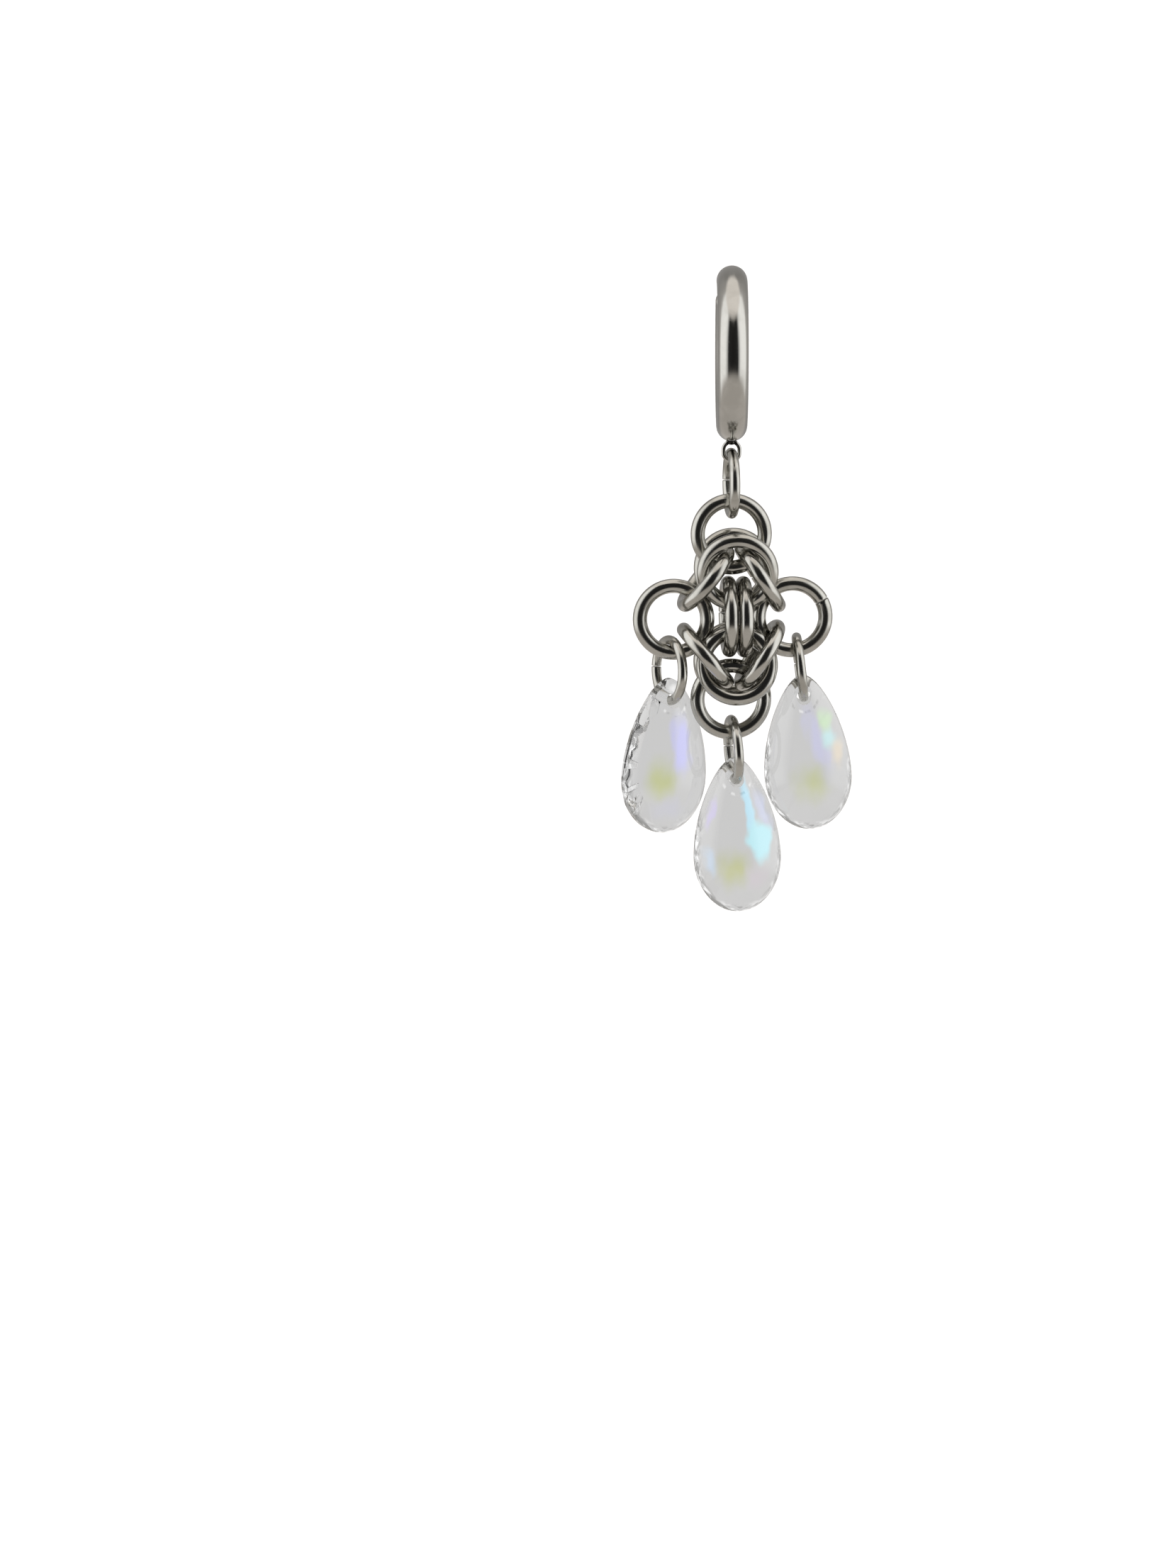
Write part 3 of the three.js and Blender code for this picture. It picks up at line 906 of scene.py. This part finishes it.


# One soft-edged patch of a colour flash, placed on the drop's face: partly the coating's own
# colour, partly painted reflection
def makePaintedFlashGroup():
    tree, given, out = newGroup(
        "paintedColourFlash",
        {"Face": "Vector", "Across": "Float", "Down": "Float", "Wide": "Float", "High": "Float",
         "Lean": "Float", "Soft": "Float", "Square": "Float"},
        {"Mask": "Float"},
    )
    face, across, down, wide, high, lean, soft, square = given.outputs[:8]
    waves = addNode(tree, "TexNoise")
    feed(tree, waves.inputs["Vector"], face)
    waves.inputs["Scale"].default_value = ripple["scale"]
    waves.inputs["Detail"].default_value = ripple["detail"]
    shift = addNode(tree, "VectorMath", operation="MULTIPLY_ADD")
    feed(tree, shift.inputs[0], waves.outputs["Color"])
    shift.inputs[1].default_value = (ripple["across"], ripple["down"], 0)
    shift.inputs[2].default_value = (-ripple["across"] / 2, -ripple["down"] / 2, 0)
    bent = addNode(tree, "VectorMath", operation="ADD")
    feed(tree, bent.inputs[0], face)
    feed(tree, bent.inputs[1], shift.outputs[0])
    parts = addNode(tree, "SeparateXYZ")
    tree.links.new(bent.outputs[0], parts.inputs[0])
    y = calc(tree, "SUBTRACT", parts.outputs[1], down)
    x = calc(tree, "SUBTRACT", parts.outputs[0], across)
    x = calc(tree, "SUBTRACT", x, calc(tree, "MULTIPLY", y, lean))
    x = calc(tree, "ABSOLUTE", calc(tree, "DIVIDE", x, wide))
    y = calc(tree, "ABSOLUTE", calc(tree, "DIVIDE", y, high))
    both = calc(tree, "ADD", calc(tree, "POWER", x, square), calc(tree, "POWER", y, square))
    far = calc(tree, "POWER", both, calc(tree, "DIVIDE", 1.0, square))
    edge = calc(tree, "SUBTRACT", 1.0, soft)
    tree.links.new(between(tree, far, edge, 1.0, 1.0, 0.0), out.inputs["Mask"])
    return tree


# Where the painted glints go: painted shade and painted highlights standing in for what the facets
# behind would show
paintedGlintStreaks = {
    "perRadian": 3.4,
    "perRise": 5.0,
    "lowLeft": (0.2, 0.4),  # down less across, in shares of the face
    "low": (0.5, 0.62),
    "lowShare": 0.6,
    "rim": (0.1, 0.4),  # shares of the way from the rim to the front
    "paintedShade": (0.51, 0.57),
    "paintedHighlight": (0.38, 0.45),
    "lineFrom": (0.95, 1.08),  # millimetres from the hole's middle
    "lineTo": (1.12, 1.3),
    "lineBelow": (0.1, 0.5),
    "lineShare": 0.5,
}


# Painted shade and painted highlights for what the facets behind would show in the glass:
# streaks along the lower rim, most of them at the left, and a broken line under the hole
def makePaintedGlintGroup():
    tree, given, out = newGroup(
        "paintedGlassGlints",
        {"Face": "Vector", "Rise": "Float", "Fleck": "Float"},
        {"PaintedShade": "Float", "Bright": "Float"},
    )
    face, rise, paintedGlintScale = given.outputs[:3]
    parts = addNode(tree, "SeparateXYZ")
    tree.links.new(face, parts.inputs[0])
    u, v = parts.outputs[:2]
    x = calc(tree, "MULTIPLY", calc(tree, "SUBTRACT", u, 0.5), drop["width"] / mm)
    long = drop["height"] / mm
    fromHeart = calc(tree, "MULTIPLY", calc(tree, "SUBTRACT", v, drop["heart"]), long)
    turned = calc(tree, "ARCTAN2", x, fromHeart)
    spot = addNode(tree, "CombineXYZ")
    feed(tree, spot.inputs[0], calc(tree, "MULTIPLY", turned, paintedGlintStreaks["perRadian"]))
    feed(tree, spot.inputs[1], calc(tree, "MULTIPLY", rise, paintedGlintStreaks["perRise"]))
    paintedGlintNoise = noise(tree, spot.outputs[0], paintedGlintScale, 2.0, 0.5)
    lowLeft = between(tree, calc(tree, "SUBTRACT", v, u), *paintedGlintStreaks["lowLeft"])
    low = calc(tree, "MULTIPLY", between(tree, v, *paintedGlintStreaks["low"]), paintedGlintStreaks["lowShare"])
    byRim = between(tree, rise, *paintedGlintStreaks["rim"], 1.0, 0.0)
    fluxFlecksAndPaintedGlints = calc(tree, "MULTIPLY", calc(tree, "MAXIMUM", lowLeft, low), byRim)
    hole = drop["holeBelowTip"] / drop["height"]
    y = calc(tree, "MULTIPLY", calc(tree, "SUBTRACT", v, hole), long)
    squares = calc(tree, "ADD", calc(tree, "MULTIPLY", x, x), calc(tree, "MULTIPLY", y, y))
    away = calc(tree, "SQRT", squares)
    begun = between(tree, away, *paintedGlintStreaks["lineFrom"])
    ended = between(tree, away, *paintedGlintStreaks["lineTo"], 1.0, 0.0)
    paintedLineUnderHole = calc(tree, "MULTIPLY", calc(tree, "MULTIPLY", begun, ended),
                between(tree, y, *paintedGlintStreaks["lineBelow"]))
    wearAndPaintedGlintMarks = calc(tree, "MAXIMUM", fluxFlecksAndPaintedGlints, calc(tree, "MULTIPLY", paintedLineUnderHole, paintedGlintStreaks["lineShare"]))
    paintedShade = between(tree, paintedGlintNoise, *paintedGlintStreaks["paintedShade"])
    paintedHighlight = between(tree, paintedGlintNoise, *paintedGlintStreaks["paintedHighlight"], 1.0, 0.0)
    tree.links.new(calc(tree, "MULTIPLY", wearAndPaintedGlintMarks, paintedShade), out.inputs["PaintedShade"])
    tree.links.new(calc(tree, "MULTIPLY", wearAndPaintedGlintMarks, paintedHighlight), out.inputs["Bright"])
    return tree


def glassMaterial(name, look, paintedFlash=None, paintedFlashes=(), paintedGlints=None, paintedGlintScale=1.0):
    tree, shader, made = newMaterial(name)
    face = addNode(tree, "UVMap", uv_map="face").outputs[0]
    tint = mixColour(tree, noise(tree, face, 3.0), look["colour"], look["cloud"])
    glow = None
    # The painted flashes and painted glints show only on rays that first meet the glass
    depth = addNode(tree, "LightPath").outputs["Ray Depth"]
    seen = calc(tree, "LESS_THAN", depth, 1.5)  # marks aren't mirrored on inside the glass
    # The coating's colour flashes: tints partly its own colour and partly painted reflection, glows
    # painted reflection
    for patch in paintedFlashes:
        values = {"Square": 2}
        values.update((k, v) for k, v in patch.items() if k not in ("tint", "glow"))
        mask = calc(tree, "MULTIPLY", placeGroup(tree, paintedFlash, Face=face, **values)["Mask"], seen)
        tint = mixColour(tree, mask, tint, (*patch["tint"], 1))
        glow = mixColour(tree, mask, glow or (0, 0, 0, 1), (*patch["glow"], 1))
    # Painted shade darkens the glass's colour and painted highlights glow, for marks the facets
    # behind would show
    if paintedGlints:
        rise = addNode(tree, "Attribute", attribute_name="rimToFront").outputs["Fac"]
        wearAndPaintedGlintMarks = placeGroup(tree, paintedGlints, Face=face, Rise=rise, Fleck=paintedGlintScale)
        paintedShade = calc(tree, "MULTIPLY", wearAndPaintedGlintMarks["PaintedShade"], look["paintedShadeShare"])
        paintedShade = calc(tree, "MULTIPLY", paintedShade, seen)
        paintedHighlight = calc(tree, "MULTIPLY", wearAndPaintedGlintMarks["Bright"], seen)
        tint = mixColour(tree, paintedShade, tint, look["paintedShade"])
        glow = mixColour(tree, paintedHighlight, glow, look["paintedHighlight"])
    tree.links.new(tint, shader.inputs["Base Color"])
    # Painted glow for the flashes' painted reflections and the glints' painted highlights
    if glow:
        tree.links.new(glow, shader.inputs["Emission Color"])
        shader.inputs["Emission Strength"].default_value = look["glow"]
    smear = between(tree, noise(tree, face, 9.0, 4.0, 1.0), 0.45, 0.75, *look["roughness"])
    tree.links.new(smear, shader.inputs["Roughness"])
    shader.inputs["Transmission Weight"].default_value = 1
    shader.inputs["Coat Weight"].default_value = look["coat"]
    shader.inputs["IOR"].default_value = look["ior"]
    return made


hoopLook = {
    "colour": (0.52, 0.51, 0.48, 1),
    "smudged": (0.47, 0.46, 0.43, 1),
    "stained": (0.04, 0.038, 0.034, 1),
    "roughness": (0.1, 0.17),
    "fineness": 2.2,
    "bump": 0.12,
}
ringLook = {
    "colour": (0.5, 0.49, 0.455, 1),
    "smudged": (0.42, 0.41, 0.375, 1),
    "roughness": (0.11, 0.2),
    "fineness": 2.6,
    "bump": 0.16,
}
clearLook = {
    "colour": (0.97, 0.97, 0.965, 1),
    "cloud": (0.94, 0.94, 0.94, 1),
    "roughness": (0.0, 0.03),
    "ior": 1.2,
    "coat": 0,
}
coatedAndPaintedLook = {
    "colour": (0.97, 0.97, 0.965, 1),
    "cloud": (0.94, 0.94, 0.945, 1),
    "roughness": (0.0, 0.02),
    "ior": 1.2,
    "coat": 1,
    "glow": 1,
    # Colours of the painted shade and painted highlights, and the scale of their painted streaks
    "paintedShade": (0.14, 0.14, 0.13, 1),
    "paintedShadeShare": 0.9,
    "paintedHighlight": (0.4, 0.4, 0.4, 1),
    "paintedGlintScale": 0.95,  # the first drop's streaks, and how much finer the next one's are
    "paintedGlintScaleStep": 0.18,
}
drilledLook = {
    "colour": (0.96, 0.96, 0.95, 1),
    "cloud": (0.85, 0.85, 0.84, 1),
    "roughness": (0.25, 0.5),
    "ior": 1.2,
    "coat": 0,
}
# Patches of colour flash on each drop's face, partly the coating's own colour and partly painted
# reflection and painted glow: Across and Down in shares of its width and height
dropPaintedFlashes = {
    "drop_left": [
        {"tint": (0.9, 0.9, 1), "glow": (0, 0, 0.28), "Across": 0.585, "Down": 0.41,
         "Wide": 0.15, "High": 0.25, "Lean": 0.05, "Soft": 0.7, "Square": 3.5},
        {"tint": (0.82, 0.87, 0.3), "glow": (0, 0.01, 0), "Across": 0.37, "Down": 0.65,
         "Wide": 0.26, "High": 0.2, "Lean": 0, "Soft": 0.95},
        {"tint": (0.93, 0.93, 0.97), "glow": (0, 0, 0.04), "Across": 0.5, "Down": 0.84,
         "Wide": 0.3, "High": 0.1, "Lean": 0, "Soft": 0.9},
        # A painted highlight in the tip, above the hole
        {"tint": (1, 1, 1), "glow": (0.25, 0.25, 0.25), "Across": 0.5, "Down": 0.08,
         "Wide": 0.12, "High": 0.05, "Lean": 0, "Soft": 0.9},
    ],
    "drop_centre": [
        {"tint": (0.93, 0.95, 1), "glow": (0.04, 0.06, 0.18), "Across": 0.79, "Down": 0.34,
         "Wide": 0.09, "High": 0.2, "Lean": 0.5, "Soft": 0.8},
        {"tint": (0.8, 0.97, 1), "glow": (0, 0.2, 0.32), "Across": 0.62, "Down": 0.31,
         "Wide": 0.09, "High": 0.24, "Lean": 0.3, "Soft": 0.6},
        {"tint": (0.8, 0.97, 1), "glow": (0, 0.25, 0.31), "Across": 0.73, "Down": 0.52,
         "Wide": 0.2, "High": 0.18, "Lean": 0.3, "Soft": 0.5, "Square": 1.4},
        {"tint": (0.93, 0.9, 1), "glow": (0.03, 0, 0.16), "Across": 0.18, "Down": 0.34,
         "Wide": 0.06, "High": 0.16, "Lean": -0.4, "Soft": 0.8},
        {"tint": (0.9, 0.94, 1), "glow": (0, 0.07, 0.16), "Across": 0.17, "Down": 0.66,
         "Wide": 0.1, "High": 0.12, "Lean": 0.3, "Soft": 0.8},
        {"tint": (0.82, 0.84, 0.32), "glow": (0, 0.01, 0), "Across": 0.43, "Down": 0.71,
         "Wide": 0.28, "High": 0.19, "Lean": 0, "Soft": 0.95},
        {"tint": (0.97, 0.92, 0.95), "glow": (0.02, 0, 0.02), "Across": 0.69, "Down": 0.76,
         "Wide": 0.2, "High": 0.12, "Lean": 0, "Soft": 0.9},
    ],
    "drop_right": [
        {"tint": (0.94, 0.94, 1), "glow": (0.01, 0.01, 0.15), "Across": 0.62, "Down": 0.4,
         "Wide": 0.15, "High": 0.33, "Lean": 0.45, "Soft": 0.85},
        {"tint": (0.86, 0.97, 0.97), "glow": (0, 0.18, 0.2), "Across": 0.76, "Down": 0.4,
         "Wide": 0.12, "High": 0.12, "Lean": 0.3, "Soft": 0.9},
        {"tint": (0.9, 0.97, 0.8), "glow": (0.02, 0.16, 0), "Across": 0.72, "Down": 0.28,
         "Wide": 0.12, "High": 0.11, "Lean": 0.3, "Soft": 0.9},
        {"tint": (0.98, 0.93, 0.85), "glow": (0.16, 0.1, 0.02), "Across": 0.83, "Down": 0.51,
         "Wide": 0.12, "High": 0.12, "Lean": 0.3, "Soft": 0.9},
        {"tint": (0.83, 0.87, 0.38), "glow": (0, 0.01, 0), "Across": 0.53, "Down": 0.69,
         "Wide": 0.3, "High": 0.2, "Lean": 0, "Soft": 0.95},
    ],
}

makeCamera()
makeWorld()
makeFloor()
makeLights()
print("stage: camera, tent and floor are set")

wear = makeWearGroup()
hoopSteel = steelMaterial("hoopSteel", hoopLook, wear, solderStain)
ringSteel = steelMaterial("ringSteel", ringLook, wear)
paintedFlash = makePaintedFlashGroup()
paintedGlints = makePaintedGlintGroup()
clearGlass = glassMaterial("clearGlass", clearLook)
drilledGlass = glassMaterial("drilledGlass", drilledLook)
print("stage: materials are mixed")

makeHoopFront(hoopSteel)
makeHoopArm(hoopSteel)
makePin(hoopSteel)
print("stage: the hoop is made")

rings = [node for node in sorted(frame["nodes"])
         if node not in dropPaintedFlashes and not node.startswith(("hoop", "hinge"))]
for node in rings:
    makeRing(node, ringSteel)
print("stage: the rings are bent")

# Each drop's front glass carries its painted colour flashes and painted glints
for turn, (node, paintedFlashes) in enumerate(dropPaintedFlashes.items()):
    paintedGlintScale = coatedAndPaintedLook["paintedGlintScale"] + coatedAndPaintedLook["paintedGlintScaleStep"] * turn
    coatedAndPainted = glassMaterial(node + "CoatingAndPaintedLight", coatedAndPaintedLook, paintedFlash, paintedFlashes, paintedGlints, paintedGlintScale)
    makeDrop(node, coatedAndPainted, clearGlass, drilledGlass)
print("stage: the drops are cut")
